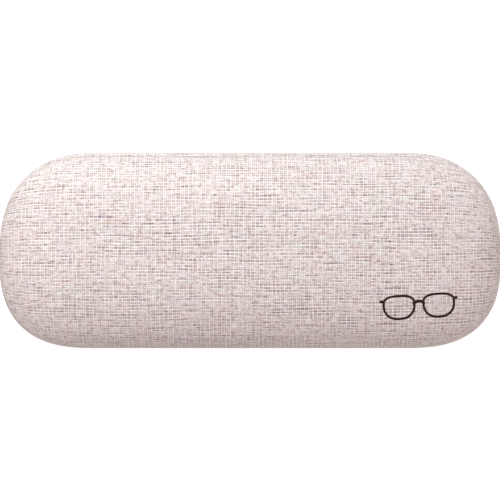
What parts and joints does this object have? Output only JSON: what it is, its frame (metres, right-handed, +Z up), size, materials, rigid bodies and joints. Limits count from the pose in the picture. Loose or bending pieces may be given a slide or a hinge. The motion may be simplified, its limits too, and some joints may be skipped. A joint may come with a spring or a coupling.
{
  "type": "eyeglasses case",
  "caption": "Rounded hard clamshell eyeglasses case in slubbed linen, steel shells under cloth, soft pile inside, lid hinged along the back.",
  "frame": {"origin": "middle of the overall box on the plane the closed case rests on", "axes": "+X along the length, +Y towards the hinge, +Z up through the lid"},
  "size_m": [0.162, 0.0634, 0.0378],
  "materials": {
    "linen": "slubbed plain weave, matt",
    "spine_linen": "slubbed plain weave, matt",
    "foam": "thin foam backing, matt",
    "shell_steel": "pressed tinplate",
    "tray_plastic": "moulded, matt",
    "pile": "short soft pile",
    "hinge_steel": "plated, satin",
    "rivet_steel": "plated, satin",
    "pin_steel": "drawn wire, bright",
    "spring_steel": "spring wire"
  },
  "bodies": {
    "base": {"base_cover": "linen", "base_padding": "foam", "base_shell": "shell_steel", "base_liner_tray": "tray_plastic", "base_lining": "pile", "hinge_base_leaf": "hinge_steel", "hinge_pin": "pin_steel", "hinge_spring_left": "spring_steel", "hinge_spring_right": "spring_steel", "hinge_base_rivet_1": "rivet_steel", "hinge_base_rivet_2": "rivet_steel", "hinge_base_rivet_3": "rivet_steel", "hinge_base_rivet_4": "rivet_steel", "hinge_spine": "spine_linen"},
    "lid": {"lid_cover": "linen", "lid_padding": "foam", "lid_shell": "shell_steel", "lid_liner_tray": "tray_plastic", "lid_lining": "pile", "hinge_lid_leaf": "hinge_steel", "hinge_lid_rivet_1": "rivet_steel", "hinge_lid_rivet_2": "rivet_steel", "hinge_lid_rivet_3": "rivet_steel", "hinge_lid_rivet_4": "rivet_steel"}
  },
  "joints": [
    {"name": "lid_hinge", "type": "hinge", "parent": "base", "child": "lid", "pos_m": [0, 0.0289, 0.0182], "axis": [-1, 0, 0], "range_deg": [0, 95], "stiffness_Nm_per_rad": 0.02, "springref_deg": -28.65, "deforming": ["hinge_spine", "hinge_spring_left", "hinge_spring_right"]}
  ]
}
